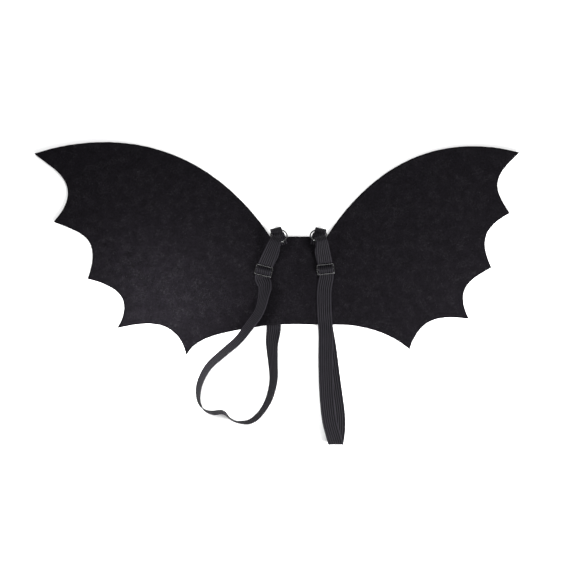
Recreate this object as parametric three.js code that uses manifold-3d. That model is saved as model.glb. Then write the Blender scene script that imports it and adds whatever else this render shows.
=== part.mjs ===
// Felt bat wings with two adjustable elastic arm straps, lying flat with the strap side up.
// Millimetres, +Z up. +X runs along the span and +Y from the hem towards the wing tips.
// The origin is the middle of the underside of the whole object's box.

import * as THREE from 'three';
import { mergeVertices } from 'three/addons/utils/BufferGeometryUtils.js';
import Module from 'manifold-3d';

const wasm = await Module();
wasm.setup();

// Driving dimensions of the felt
const wing_span = 670; // from tip to tip
const wing_height = 294.6; // from the lowest spike to the top of the leading edge
const felt_thickness = 3;

// Driving dimensions of the elastic
const elastic_width = 20;
const elastic_thickness = 1.1;
const elastic_edge = 0.3; // how much narrower the two faces are than the band, on each side
const sewn_overlap = 20; // how far a strap's lower end goes in under the hem
const tab_overlap = 13; // how far a tab holds the felt, behind it and in front of it
const bunched_share = 0.76; // the band's width where it is bunched in a ring

// Driving dimensions of the hardware
const ring_play = 0.5; // room in a ring's bore beside the band laid flat
const ring_wire = 2;
const slider_bar = 1.6; // width and thickness of a slider's bars
const slider_rail = 1.5; // width of the two sides that join the bars
const slider_pitch = 6.5; // from the middle bar to an outer bar
const slider_play = 0.5; // room between the band's edge and a rail
const slider_round = 0.4; // rounding of the slider's edges
const adjuster_reach = 50; // from a ring's middle to its slider's middle, about

// Driving dimensions of the two arm loops, below the hem
const left_loop_drop = 133; // from the hem to the lowest stretch of the left loop
const right_loop_drop = 165.5; // from the hem to the bend of the right loop
const right_loop_rise = 13; // from the floor to the upper run of the right loop, at its bend

// Clearances
const gap = 0.3; // between pieces, and between layers of one band
const pocket_play = 0.5; // beside a band end that is pressed into the felt
const tab_landing = 1.5; // from the neck's edge to where a tab's upper layer comes down on the felt

// Fineness of the faceted surfaces
const curve_segments = 14; // along each stretch of the felt's outline
const band_step = 6; // longest step along a band
const ring_sides = 10;
const ring_segments = 40;

// The felt's outline, run from the left tip along the lower side to the right tip and back over the
// top. A corner lies at a share of half the span, and of the height above the lowest spike.
// leave and arrive are the two handles of the curve to the next corner, as shares of the straight
// line between them: along it, and off it towards the felt. Without them that stretch is straight.
const outline = [
  { corner: 'left_tip', across: -1.0, up: 0.946, leave: [0.24, 0.14], arrive: [0.6, 0.64] },
  { corner: 'left_spike_2', across: -0.919, up: 0.626, leave: [0.37, 0.28], arrive: [0.57, 0.51] },
  { corner: 'left_spike_3', across: -0.779, up: 0.359, leave: [0.32, 0.31], arrive: [0.69, 0.57] },
  { corner: 'left_spike_4', across: -0.657, up: 0.128, leave: [0.26, 0.17], arrive: [0.67, 0.47] },
  { corner: 'left_spike_5', across: -0.373, up: 0.0, leave: [0.2, 0.19], arrive: [0.6, 0.09] },
  { corner: 'hem_left', across: -0.075, up: 0.135 },
  { corner: 'hem_right', across: 0.229, up: 0.144, leave: [0.32, 0.11], arrive: [0.68, 0.13] },
  { corner: 'right_spike_5', across: 0.547, up: 0.029, leave: [0.4, 0.4], arrive: [0.69, 0.2] },
  { corner: 'right_spike_4', across: 0.793, up: 0.171, leave: [0.41, 0.52], arrive: [0.73, 0.2] },
  { corner: 'right_spike_3', across: 0.885, up: 0.412, leave: [0.38, 0.37], arrive: [0.64, 0.34] },
  { corner: 'right_spike_2', across: 0.96, up: 0.667, leave: [0.4, 0.39], arrive: [0.57, 0.34] },
  { corner: 'right_tip', across: 1.0, up: 0.951, leave: [0.34, -0.265], arrive: [0.69, -0.205] },
  { corner: 'neck_right', across: 0.205, up: 0.557 },
  { corner: 'neck_left', across: -0.027, up: 0.557, leave: [0.32, -0.24], arrive: [0.68, -0.24] },
];

// How the hardware of each strap lies, with its angles in degrees.
// ring_across is the ring's middle as a share of half the neck's width from the neck's middle, and
// ring_out is its share of the elastic's width beyond the neck's edge. ring_turn turns the ring
// about the vertical, and ring_tilt raises its side at the strap.
// A lean is from +Y towards +X: of the tab, of the strap at the ring, of the way from the slider to
// the ring, and of the slider itself. slider_away is a share of adjuster_reach.
// peek is how far the under layer shows beside the front layer, as a share of the elastic's width.
const hardware = {
  left: {
    ring_across: -0.69,
    ring_out: 0.045,
    ring_turn: -6,
    ring_tilt: 38,
    tab_lean: -16,
    strap_lean: 22,
    reach_lean: 23.5,
    slider_lean: 14,
    slider_away: 1.055,
    peek: 0.11,
  },
  right: {
    ring_across: 0.71,
    ring_out: 0.06,
    ring_turn: 0,
    ring_tilt: 45,
    tab_lean: 12,
    strap_lean: -14,
    reach_lean: -12.2,
    slider_lean: -6,
    slider_away: 0.954,
    peek: -0.11,
  },
};

// The left arm loop stands on its edge and turns over on its way round. side and down are shares of
// left_loop_drop from the place where the band goes in under the hem, and rise is the share of the
// way from there to the slider. tilt is the angle of the band from flat, in degrees, and on_felt is
// 1 where its lower edge rests on the felt and 0 on the floor.
const left_loop = [
  { side: -0.092, rise: 0.745, tilt: 22, on_felt: 1 },
  { side: -0.103, rise: 0.545, tilt: 42, on_felt: 1 },
  { side: -0.15, rise: 0.26, tilt: 51, on_felt: 1 },
  { side: -0.234, rise: 0.043, tilt: 51, on_felt: 1 },
  { side: -0.3, down: 0.062, tilt: 52, on_felt: 1 },
  { side: -0.375, down: 0.152, tilt: 54, on_felt: 0.3 },
  { side: -0.523, down: 0.279, tilt: 57, on_felt: 0 },
  { side: -0.682, down: 0.43, tilt: 60, on_felt: 0 },
  { side: -0.772, down: 0.625, tilt: 64, on_felt: 0 },
  { side: -0.768, down: 0.79, tilt: 74, on_felt: 0 },
  { side: -0.71, down: 0.868, tilt: 88, on_felt: 0 },
  { side: -0.617, down: 0.893, tilt: 101, on_felt: 0 },
  { side: -0.545, down: 0.885, tilt: 100, on_felt: 0 },
  { side: -0.507, down: 0.896, tilt: 95, on_felt: 0 },
  { side: -0.466, down: 0.938, tilt: 88, on_felt: 0 },
  { side: -0.403, down: 0.98, tilt: 88, on_felt: 0 },
  { side: -0.331, down: 0.993, tilt: 94, on_felt: 0 },
  { side: -0.258, down: 0.989, tilt: 102, on_felt: 0 },
  { side: -0.182, down: 0.946, tilt: 108, on_felt: 0 },
  { side: -0.105, down: 0.857, tilt: 111, on_felt: 0 },
  { side: -0.043, down: 0.737, tilt: 117, on_felt: 0 },
  { side: -0.002, down: 0.56, tilt: 124, on_felt: 0 },
  { side: -0.006, down: 0.372, tilt: 133, on_felt: 0 },
  { side: -0.017, down: 0.19, tilt: 147, on_felt: 0 },
  { side: -0.008, down: 0.09, tilt: 166, on_felt: 0 },
  { side: 0.0, down: 0.025, tilt: 180, on_felt: 0 },
];

// The right arm loop lies on itself. side and down are shares of right_loop_drop from the place
// where the band goes in under the hem, and rise is the share of the way from there to the slider.
// lift is the share of right_loop_rise above the floor, and without it the band lies on the felt.
const right_loop = [
  { side: -0.012, rise: 0.63 },
  { side: -0.012, rise: 0.281 },
  { side: -0.006, rise: 0.065 },
  { side: 0.0, down: 0.08, lift: 0.45 },
  { side: -0.002, down: 0.271, lift: 0.62 },
  { side: 0.001, down: 0.463, lift: 0.8 },
  { side: 0.012, down: 0.655, lift: 0.94 },
  { side: 0.033, down: 0.814, lift: 1.0 },
  { side: 0.068, down: 0.94, lift: 1.0 },
  { side: 0.079, down: 0.975, lift: 0.9 },
  { side: 0.085, down: 0.994, lift: 0.55 },
  { side: 0.09, down: 0.979, lift: 0.14 },
  { side: 0.097, down: 0.94, lift: 0.0 },
  { side: 0.106, down: 0.85, lift: 0.0 },
  { side: 0.101, down: 0.73, lift: 0.0 },
  { side: 0.084, down: 0.6, lift: 0.0 },
  { side: 0.055, down: 0.39, lift: 0.0 },
  { side: 0.028, down: 0.179, lift: 0.0 },
  { side: 0.006, down: 0.05, lift: 0.0 },
];

// Where the two lower ends go in under the hem, as shares of half the span
const left_end_across = -0.0125;
const right_end_across = 0.2015;

// Sizes that follow from the driving ones
const half_span = wing_span / 2;
const band_half = elastic_width / 2;
const band_mid = elastic_thickness / 2;
const bunched_width = elastic_width * bunched_share;
const on_felt = felt_thickness + gap + band_mid; // height of the middle of a band that lies on the felt
const layer_pitch = elastic_thickness + gap;
const up = new THREE.Vector3(0, 0, 1);

const black_felt = new THREE.MeshStandardMaterial({ color: 0x2a292d, roughness: 0.95, metalness: 0 });
const black_elastic = new THREE.MeshStandardMaterial({ color: 0x35343a, roughness: 0.8, metalness: 0 });
const black_enamel = new THREE.MeshStandardMaterial({ color: 0x111113, roughness: 0.25, metalness: 0 });

function radians(degrees) {
  return THREE.MathUtils.degToRad(degrees);
}

function direction(lean) {
  return new THREE.Vector3(Math.sin(radians(lean)), Math.cos(radians(lean)), 0);
}

function closed(geometry) {
  geometry.deleteAttribute('normal');
  geometry.deleteAttribute('uv');
  return mergeVertices(geometry, 1e-4);
}

function solidOf(geometry) {
  const mesh = closed(geometry);
  return new wasm.Manifold(
    new wasm.Mesh({
      numProp: 3,
      vertProperties: new Float32Array(mesh.attributes.position.array),
      triVerts: new Uint32Array(mesh.index.array),
    }),
  );
}

function geometryOf(solid) {
  const mesh = solid.getMesh();
  const geometry = new THREE.BufferGeometry();
  geometry.setAttribute('position', new THREE.BufferAttribute(new Float32Array(mesh.vertProperties), 3));
  geometry.setIndex(new THREE.BufferAttribute(new Uint32Array(mesh.triVerts), 1));
  return geometry;
}

function piece(name, geometry, finish) {
  const ready = geometry.clone();
  ready.computeVertexNormals();
  const mesh = new THREE.Mesh(ready, finish);
  mesh.name = name;
  return mesh;
}

// The felt

function corner(name) {
  const row = outline.find((entry) => entry.corner === name);
  return new THREE.Vector2(row.across * half_span, row.up * wing_height);
}

function handle(from, to, shares) {
  const along = to.clone().sub(from);
  const inwards = new THREE.Vector2(-along.y, along.x);
  return from.clone().addScaledVector(along, shares[0]).addScaledVector(inwards, shares[1]);
}

function feltShape() {
  const shape = new THREE.Shape();
  const start = corner(outline[0].corner);
  shape.moveTo(start.x, start.y);
  outline.forEach((row, index) => {
    const from = corner(row.corner);
    const to = corner(outline[(index + 1) % outline.length].corner);
    if (row.leave) {
      const first = handle(from, to, row.leave);
      const second = handle(from, to, row.arrive);
      shape.bezierCurveTo(first.x, first.y, second.x, second.y, to.x, to.y);
    } else {
      shape.lineTo(to.x, to.y);
    }
  });
  return shape;
}

const neck = corner('neck_left').lerp(corner('neck_right'), 0.5);
const neck_half = corner('neck_right').distanceTo(corner('neck_left')) / 2;

function hemAt(across) {
  const left = corner('hem_left');
  const right = corner('hem_right');
  const share = (across - left.x) / (right.x - left.x);
  return new THREE.Vector3(across, left.y + share * (right.y - left.y), 0);
}

// A recess in the felt's underside that takes a band end, from inside the felt out over its edge
function bandPocket(inner, outwards) {
  const length = 2 * (sewn_overlap + tab_overlap + elastic_width);
  const depth = elastic_thickness + gap;
  const box = new THREE.BoxGeometry(elastic_width + 2 * pocket_play, length, 2 * depth);
  box.translate(0, length / 2, 0);
  box.rotateZ(-Math.atan2(outwards.x, outwards.y));
  const start = inner.clone().addScaledVector(outwards, -pocket_play);
  box.translate(start.x, start.y, 0);
  return solidOf(box);
}

// The rings

const ring_bore = elastic_width + ring_play;

function layRing(lie) {
  const turn = radians(lie.ring_turn);
  const tilt = radians(lie.ring_tilt);
  const radius = (ring_bore + ring_wire) / 2;
  const sideways = new THREE.Vector3(Math.cos(turn), Math.sin(turn), 0);
  const inwards = new THREE.Vector3(Math.sin(turn), -Math.cos(turn), 0);
  const climb = inwards.clone().multiplyScalar(Math.cos(tilt)).addScaledVector(up, Math.sin(tilt));
  const normal = climb.clone().cross(sideways).normalize();
  const ring = { radius, sideways, climb, normal };
  ring.centre = new THREE.Vector3(neck.x, neck.y, 0);
  ring.centre.add(new THREE.Vector3(lie.ring_across * neck_half, lie.ring_out * elastic_width, 0));
  const held = ringContact(ring, direction(lie.tab_lean));
  const lowest = gap + held.reach + band_mid + (bunched_width / 2) * Math.abs(held.across.z);
  ring.centre.z = lowest - held.wire.z;
  return ring;
}

// Where a band that runs off in plan direction away crosses the ring's wire at a right angle
function ringContact(ring, away) {
  const sine = ring.sideways.dot(away);
  const cosine = ring.climb.dot(away);
  const angle = Math.atan2(sine, cosine);
  const outwards = ring.sideways.clone().multiplyScalar(Math.sin(angle));
  outwards.addScaledVector(ring.climb, Math.cos(angle));
  const across = ring.sideways.clone().multiplyScalar(Math.cos(angle));
  across.addScaledVector(ring.climb, -Math.sin(angle));
  if (across.x < 0) across.negate();
  const bunched = bunched_width / 2;
  const beside = bunched + ring_wire / 2 + 2 * gap;
  const set_back = ring.radius - Math.sqrt(ring.radius ** 2 - beside ** 2);
  const slant = ring.radius / Math.sqrt(ring.radius ** 2 - bunched ** 2);
  const reach = (ring_wire / 2) * slant + gap + band_mid;
  const wire = ring.centre.clone().addScaledVector(outwards, ring.radius);
  return { wire, outwards, across, set_back, reach };
}

function ringGeometry(ring) {
  const geometry = new THREE.TorusGeometry(ring.radius, ring_wire / 2, ring_sides, ring_segments);
  const facing = ring.sideways.clone().cross(ring.climb);
  const place = new THREE.Matrix4().makeBasis(ring.sideways, ring.climb, facing);
  geometry.applyMatrix4(place.setPosition(ring.centre));
  return closed(geometry);
}

// The sliders

const bar_corner = (slider_bar / 2 - slider_round) * Math.SQRT2 + slider_round;
const bar_reach = bar_corner + gap + band_mid; // from a bar's middle to a band laid against it
const slider_height = on_felt + bar_reach + layer_pitch;

function laySlider(lie, ring) {
  const away = direction(lie.reach_lean).negate();
  const centre = ring.centre.clone().addScaledVector(away, lie.slider_away * adjuster_reach);
  centre.z = slider_height;
  const along = direction(lie.slider_lean);
  return { centre, along, across: along.clone().cross(up) };
}

function windowPath(width, from, to) {
  const path = new THREE.Path();
  path.moveTo(-width / 2, from);
  path.lineTo(-width / 2, to);
  path.lineTo(width / 2, to);
  path.lineTo(width / 2, from);
  path.closePath();
  return path;
}

function sliderGeometry(lay) {
  const inner = elastic_width + 2 * slider_play;
  const half_width = inner / 2 + slider_rail - slider_round;
  const half_length = slider_pitch + slider_bar / 2 - slider_round;
  const radius = slider_rail;
  const shape = new THREE.Shape();
  shape.moveTo(-half_width + radius, -half_length);
  shape.lineTo(half_width - radius, -half_length);
  shape.absarc(half_width - radius, -half_length + radius, radius, -Math.PI / 2, 0);
  shape.absarc(half_width - radius, half_length - radius, radius, 0, Math.PI / 2);
  shape.absarc(-half_width + radius, half_length - radius, radius, Math.PI / 2, Math.PI);
  shape.absarc(-half_width + radius, -half_length + radius, radius, Math.PI, 1.5 * Math.PI);
  const near = slider_bar / 2 - slider_round;
  const far = slider_pitch - slider_bar / 2 + slider_round;
  const window_width = inner + 2 * slider_round;
  shape.holes.push(windowPath(window_width, near, far), windowPath(window_width, -far, -near));
  const geometry = new THREE.ExtrudeGeometry(shape, {
    depth: slider_bar - 2 * slider_round,
    bevelThickness: slider_round,
    bevelSize: slider_round,
    bevelSegments: 2,
    curveSegments: 4,
  });
  geometry.translate(0, 0, -slider_bar / 2 + slider_round);
  const place = new THREE.Matrix4().makeBasis(lay.across, lay.along, up);
  geometry.applyMatrix4(place.setPosition(lay.centre));
  return closed(geometry);
}

// The bands. A station is a point on the band's middle line with the direction across the band.

function station(at, across, width = elastic_width) {
  return { at, across, width };
}

// The band's section: flat faces and slightly rounded edges
function sectionPoints(width) {
  const half = width / 2;
  return [
    [-half + elastic_edge, -band_mid],
    [half - elastic_edge, -band_mid],
    [half, -band_mid + elastic_edge],
    [half, band_mid - elastic_edge],
    [half - elastic_edge, band_mid],
    [-half + elastic_edge, band_mid],
    [-half, band_mid - elastic_edge],
    [-half, -band_mid + elastic_edge],
  ];
}

function smoothStations(rows) {
  const middle = new THREE.CatmullRomCurve3(rows.map((row) => row.at), false, 'centripetal');
  const across = new THREE.CatmullRomCurve3(rows.map((row) => row.across), false, 'catmullrom');
  const spans = rows.length - 1;
  const fine = [];
  for (let span = 0; span < spans; span += 1) {
    const length = rows[span].at.distanceTo(rows[span + 1].at);
    const steps = Math.max(2, Math.ceil(length / band_step));
    const last = span === spans - 1 ? steps : steps - 1;
    for (let step = 0; step <= last; step += 1) {
      const share = step / steps;
      const t = (span + share) / spans;
      const width = THREE.MathUtils.lerp(rows[span].width, rows[span + 1].width, share);
      fine.push({ ...station(middle.getPoint(t), across.getPoint(t), width), along: middle.getTangent(t) });
    }
  }
  return fine;
}

function bandGeometry(rows) {
  const fine = smoothStations(rows);
  const positions = [];
  const triangles = [];
  const around = sectionPoints(elastic_width).length;
  for (const row of fine) {
    const across = row.across.clone().addScaledVector(row.along, -row.across.dot(row.along)).normalize();
    const face = across.clone().cross(row.along).normalize();
    for (const [sideways, outwards] of sectionPoints(row.width)) {
      const point = row.at.clone().addScaledVector(across, sideways).addScaledVector(face, outwards);
      positions.push(point.x, point.y, Math.max(point.z, 0));
    }
  }
  for (let row = 0; row < fine.length - 1; row += 1) {
    for (let side = 0; side < around; side += 1) {
      const a = row * around + side;
      const b = row * around + ((side + 1) % around);
      triangles.push(a, b + around, b, a, a + around, b + around);
    }
  }
  const end = (fine.length - 1) * around;
  for (let side = 1; side < around - 1; side += 1) {
    triangles.push(0, side, side + 1, end, end + side + 1, end + side);
  }
  const geometry = new THREE.BufferGeometry();
  geometry.setAttribute('position', new THREE.Float32BufferAttribute(positions, 3));
  geometry.setIndex(triangles);
  return mergeVertices(geometry, 1e-4);
}

// A fold round the wire: in on the under side, round the end at turn_at and out on the upper side
function foldStations(start, turn_at, reach, normal, across) {
  const towards = turn_at.clone().sub(start).normalize();
  const rows = [station(start.clone().addScaledVector(normal, -reach), across, bunched_width)];
  for (const degrees of [-90, -45, 0, 45, 90]) {
    const at = turn_at.clone().addScaledVector(towards, reach * Math.cos(radians(degrees)));
    at.addScaledVector(normal, reach * Math.sin(radians(degrees)));
    rows.push(station(at, across, bunched_width));
  }
  rows.push(station(start.clone().addScaledVector(normal, reach), across, bunched_width));
  return rows;
}

// Where a tab's upper layer is highest, as a share of the way from the ring to the felt
const tab_arch = 0.45;

// A tab: its lower end behind the felt, a fold round the ring's wire, its upper end on the felt
function layTab(lie, ring) {
  const out = direction(lie.tab_lean);
  const flat = out.clone().cross(up);
  const contact = ringContact(ring, out);
  const to_edge = (contact.wire.y - neck.y) / out.y;
  const inside = contact.wire.clone().addScaledVector(contact.outwards, -contact.set_back);
  const at = (beyond, height) => {
    const point = contact.wire.clone().addScaledVector(out, beyond - to_edge);
    return point.setZ(height);
  };
  const before_landing = inside.clone().lerp(at(-tab_landing, on_felt), tab_arch);
  const rows = [
    station(at(-tab_overlap, band_mid), flat),
    station(at(-tab_overlap / 2, band_mid), flat),
    station(at(0, band_mid), flat),
    station(at(gap + band_half * Math.abs(Math.tan(radians(lie.tab_lean))), band_mid), flat),
    ...foldStations(inside, contact.wire, contact.reach, ring.normal, contact.across),
    station(before_landing.setZ(on_felt + contact.reach), flat, bunched_width),
    station(at(-tab_landing, on_felt), flat),
    station(at(-tab_overlap / 2, on_felt), flat),
    station(at(-tab_overlap, on_felt), flat),
  ];
  return { rows, inner: at(-tab_overlap, 0), out };
}

// Where the layers between a slider and its ring are guided, as shares of the way to the ring, and
// how much of the under layer's peek there is at the first of them
const near_slider = 0.2;
const near_ring = 0.6;
const first_peek = 0.4;

// The adjuster of a strap: its upper end wrapped round the slider's middle bar, the under layer to the
// ring, the front layer back and through the slider
function layAdjuster(lie, ring, slider) {
  const away = direction(lie.strap_lean).negate();
  const contact = ringContact(ring, away);
  const inside = contact.wire.clone().addScaledVector(contact.outwards, -contact.set_back);
  const at = (along, height) => {
    const point = slider.centre.clone().addScaledVector(slider.along, along);
    return station(point.addScaledVector(up, height), slider.across);
  };
  const over = bar_reach + layer_pitch;
  const steep = THREE.MathUtils.radToDeg(Math.asin((over + bar_reach) / slider_pitch));
  const arc = (bar, reach, degrees) =>
    degrees.map((angle) => at(bar + reach * Math.cos(radians(angle)), reach * Math.sin(radians(angle))));
  const before_ring = (share, layer, shift) => {
    const from = at(slider_pitch, layer < 0 ? -over : -bar_reach).at;
    const to = contact.wire.clone().addScaledVector(ring.normal, layer * contact.reach);
    const across = slider.across.clone().lerp(contact.across, share);
    const point = from.lerp(to, share).addScaledVector(slider.across, shift);
    return station(point, across, elastic_width * (1 - (1 - bunched_share) * share ** 2));
  };
  const over_wire = contact.across.clone().cross(away).normalize();
  if (over_wire.z < 0) over_wire.negate();
  const crown = contact.wire.clone().addScaledVector(over_wire, contact.reach);
  return [
    ...arc(0, bar_reach, [0, 45, 90, 135, 180, 225, 270]),
    at(slider_pitch / 2, -(over + bar_reach) / 2),
    at(slider_pitch, -over),
    before_ring(near_slider, -1, first_peek * lie.peek * elastic_width),
    before_ring(near_ring, -1, lie.peek * elastic_width),
    ...foldStations(contact.wire, inside, contact.reach, ring.normal, contact.across),
    station(crown, contact.across, bunched_width),
    before_ring(near_ring, 1, 0),
    before_ring(near_slider, 1, 0),
    ...arc(slider_pitch, bar_reach, [-90, -90 - steep / 2, -90 - steep]),
    ...arc(0, over, [90 - steep, 90 - steep / 2, 90, 90 + steep / 2, 90 + steep]),
    ...arc(-slider_pitch, bar_reach, [-90 + steep, -90 + steep / 2, -90]),
    at(-1.5 * slider_pitch, -(over + bar_reach) / 2),
  ];
}

// The lower end of a strap, flat behind the hem
function sewnEnd(hem) {
  const rows = [];
  for (const share of [0, 0.5, 1]) {
    const at = hem.clone().add(new THREE.Vector3(0, share * sewn_overlap, band_mid));
    rows.push(station(at, new THREE.Vector3(1, 0, 0)));
  }
  return rows;
}

function loopPoint(hem, slider, row, drop) {
  const above = row.rise ? row.rise * (slider.centre.y - hem.y) : -row.down * drop;
  return new THREE.Vector3(hem.x + row.side * drop, hem.y + above, 0);
}

function layLeftLoop(hem, slider) {
  const points = left_loop.map((row) => loopPoint(hem, slider, row, left_loop_drop));
  const plan = new THREE.CatmullRomCurve3([...points, hem], false, 'centripetal');
  return left_loop.map((row, index) => {
    const tilt = radians(row.tilt);
    const sideways = up.clone().cross(plan.getTangent(index / points.length)).normalize();
    const across = sideways.multiplyScalar(Math.cos(tilt)).addScaledVector(up, Math.sin(tilt));
    const rest = row.on_felt * (felt_thickness + gap);
    const height = rest + band_half * Math.sin(tilt) + band_mid * Math.abs(Math.cos(tilt));
    return station(points[index].setZ(height), across);
  });
}

function layRightLoop(hem, slider) {
  return right_loop.map((row) => {
    const height = row.rise ? on_felt : band_mid + row.lift * (right_loop_rise - band_mid);
    const at = loopPoint(hem, slider, row, right_loop_drop).setZ(height);
    return station(at, new THREE.Vector3(1, 0, 0));
  });
}

// The assembly

const lay_ring = { left: layRing(hardware.left), right: layRing(hardware.right) };
const lay_slider = {
  left: laySlider(hardware.left, lay_ring.left),
  right: laySlider(hardware.right, lay_ring.right),
};
const lay_tab = {
  left: layTab(hardware.left, lay_ring.left),
  right: layTab(hardware.right, lay_ring.right),
};
const hem = { left: hemAt(left_end_across * half_span), right: hemAt(right_end_across * half_span) };
const loop = {
  left: layLeftLoop(hem.left, lay_slider.left),
  right: layRightLoop(hem.right, lay_slider.right),
};

function feltGeometry() {
  const sheet = new THREE.ExtrudeGeometry(feltShape(), {
    depth: felt_thickness,
    bevelEnabled: false,
    curveSegments: curve_segments,
  });
  let felt = solidOf(sheet);
  const down = new THREE.Vector3(0, -1, 0);
  for (const side of ['left', 'right']) {
    felt = felt.subtract(bandPocket(lay_tab[side].inner, lay_tab[side].out));
    felt = felt.subtract(bandPocket(hem[side].clone().addScaledVector(down, -sewn_overlap), down));
  }
  return geometryOf(felt);
}

function strapGeometry(side) {
  const adjuster = layAdjuster(hardware[side], lay_ring[side], lay_slider[side]);
  return bandGeometry([...adjuster, ...loop[side], ...sewnEnd(hem[side])]);
}

const group = new THREE.Group();
group.add(piece('wing_panel', feltGeometry(), black_felt));
for (const side of ['left', 'right']) {
  group.add(piece(`tab_${side}`, bandGeometry(lay_tab[side].rows), black_elastic));
  group.add(piece(`ring_${side}`, ringGeometry(lay_ring[side]), black_enamel));
  group.add(piece(`slider_${side}`, sliderGeometry(lay_slider[side]), black_enamel));
  group.add(piece(`strap_${side}`, strapGeometry(side), black_elastic));
}

const box = new THREE.Box3().setFromObject(group);
group.position.set(-(box.min.x + box.max.x) / 2, -(box.min.y + box.max.y) / 2, -box.min.z);

export default group;
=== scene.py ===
import math

import bmesh
import bpy
import numpy as np
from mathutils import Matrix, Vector, geometry
from mathutils.kdtree import KDTree


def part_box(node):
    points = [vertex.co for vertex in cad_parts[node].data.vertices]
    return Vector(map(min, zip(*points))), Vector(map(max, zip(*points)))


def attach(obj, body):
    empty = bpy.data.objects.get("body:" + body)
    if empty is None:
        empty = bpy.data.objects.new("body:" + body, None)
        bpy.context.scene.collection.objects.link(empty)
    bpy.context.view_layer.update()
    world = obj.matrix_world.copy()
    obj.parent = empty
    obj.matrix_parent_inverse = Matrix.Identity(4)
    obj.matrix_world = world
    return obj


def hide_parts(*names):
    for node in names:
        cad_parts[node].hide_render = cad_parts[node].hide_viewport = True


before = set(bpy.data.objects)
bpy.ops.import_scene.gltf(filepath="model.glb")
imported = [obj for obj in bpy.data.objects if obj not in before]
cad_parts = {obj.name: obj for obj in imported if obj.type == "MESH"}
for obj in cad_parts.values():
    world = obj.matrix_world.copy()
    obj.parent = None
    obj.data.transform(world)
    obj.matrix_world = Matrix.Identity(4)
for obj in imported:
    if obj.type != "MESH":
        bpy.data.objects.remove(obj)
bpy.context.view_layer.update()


# The view: the wings lie on a white table, seen straight down with the tips at the far side.
# The span fills most of the picture, and the lens is a little long, so the straps hardly lean.

camera_height = 1.65
view_width = 0.7925
view_middle = (0.0134, 0.0095)
film_width = 0.036

camera = bpy.data.objects.new("camera", bpy.data.cameras.new("camera"))
camera.data.sensor_width = film_width * 1000
camera.data.lens = camera.data.sensor_width * camera_height / view_width
camera.location = (*view_middle, camera_height)
bpy.context.scene.collection.objects.link(camera)
bpy.context.scene.camera = camera
bpy.context.scene.view_settings.view_transform = "Standard"


# The table: a plain white top, matt, with hardly any grain.
# It is much larger than the view, so its edge never shows.

table_half = 6.0
table_white = (0.975, 0.975, 0.975, 1)
table_shade = (0.955, 0.955, 0.955, 1)


def put(tree, kind, inputs=None, **settings):
    """A node of that kind. Its inputs take plain values or other nodes' outputs."""
    node = tree.nodes.new(kind)
    for name, value in settings.items():
        setattr(node, name, value)
    for name, value in (inputs or {}).items():
        if isinstance(value, bpy.types.NodeSocket):
            tree.links.new(value, node.inputs[name])
        else:
            node.inputs[name].default_value = value
    return node


def object_place(tree):
    """The place of each point in its object's own coordinates."""
    return put(tree, "ShaderNodeTexCoord").outputs["Object"]


def noise(tree, place, scale, detail, **inputs):
    """A cloudy pattern from 0 to 1."""
    values = {"Vector": place, "Scale": scale, "Detail": detail, **inputs}
    return put(tree, "ShaderNodeTexNoise", values).outputs[0]


def blend(tree, share, first, second):
    """A colour between two, by the share of the second."""
    return put(tree, "ShaderNodeMix", {0: share, 6: first, 7: second}, data_type="RGBA").outputs[2]


def new_finish(name, roughness, specular):
    """A material with a Principled shader, whose constants are set on its own sockets."""
    finish = bpy.data.materials.new(name)
    finish.use_nodes = True
    finish.node_tree.nodes.clear()
    shader = put(finish.node_tree, "ShaderNodeBsdfPrincipled")
    shader.inputs["Roughness"].default_value = roughness
    shader.inputs["Specular IOR Level"].default_value = specular
    put(finish.node_tree, "ShaderNodeOutputMaterial", {"Surface": shader.outputs[0]})
    return finish, finish.node_tree, shader


def new_object(name, mesh):
    """An object at the origin that shows the mesh."""
    piece = bpy.data.objects.new(name, mesh)
    bpy.context.scene.collection.objects.link(piece)
    return piece


def mesh_of(name, points, faces):
    """A smooth-shaded mesh from lists of points and faces."""
    mesh = bpy.data.meshes.new(name)
    mesh.from_pydata([tuple(point) for point in points], [], [tuple(face) for face in faces])
    mesh.polygons.foreach_set("use_smooth", [True] * len(mesh.polygons))
    return mesh


white_top, tree, shader = new_finish("white_top", 0.8, 0.2)
grain = noise(tree, object_place(tree), 40.0, 3.0)
tree.links.new(blend(tree, grain, table_shade, table_white), shader.inputs["Base Color"])

corners = [(-table_half, -table_half, 0), (table_half, -table_half, 0)]
corners += [(table_half, table_half, 0), (-table_half, table_half, 0)]
table = new_object("table", mesh_of("table", corners, [(0, 1, 2, 3)]))
table.data.materials.append(white_top)


# The studio: a pale room with three soft square lights. A small one hangs low over the left wing's
# lower part, which is the brightest, one stands low at the right, and a wide one high at the far side.

room_strength = 0.6
# Name, place, the point that it faces, width of the square, and power in watts
soft_lights = [
    ("left_low_light", (-0.16, -0.035, 0.135), (-0.165, -0.035, 0.0), 0.1, 1.1),
    ("right_low_light", (0.4, -0.27, 0.28), (0.2, 0.02, 0.0), 0.25, 8.0),
    ("far_high_light", (0.1, 1.7, 1.7), (0.0, 0.0, 0.0), 0.9, 34.0),
]

room = bpy.data.worlds.new("room")
room.use_nodes = True
room.node_tree.nodes["Background"].inputs["Color"].default_value = (1.0, 1.0, 1.0, 1)
room.node_tree.nodes["Background"].inputs["Strength"].default_value = room_strength
bpy.context.scene.world = room

for name, place, faced, width, power in soft_lights:
    light = bpy.data.lights.new(name, "AREA")
    light.shape = "SQUARE"
    light.size = width
    light.energy = power
    lamp = bpy.data.objects.new(name, light)
    lamp.location = place
    lamp.rotation_euler = (Vector(faced) - Vector(place)).to_track_quat("-Z", "Y").to_euler()
    lamp.visible_camera = False
    bpy.context.scene.collection.objects.link(lamp)


# The wing panel: one piece of 3 mm black polyester felt, cut to the outline of a pair of bat wings.
# Its cut edge is soft and slightly uneven, and away from the straps it stands off the table in low
# waves. The ends of the tabs and straps are pressed into its underside, where they are sewn on.

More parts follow.
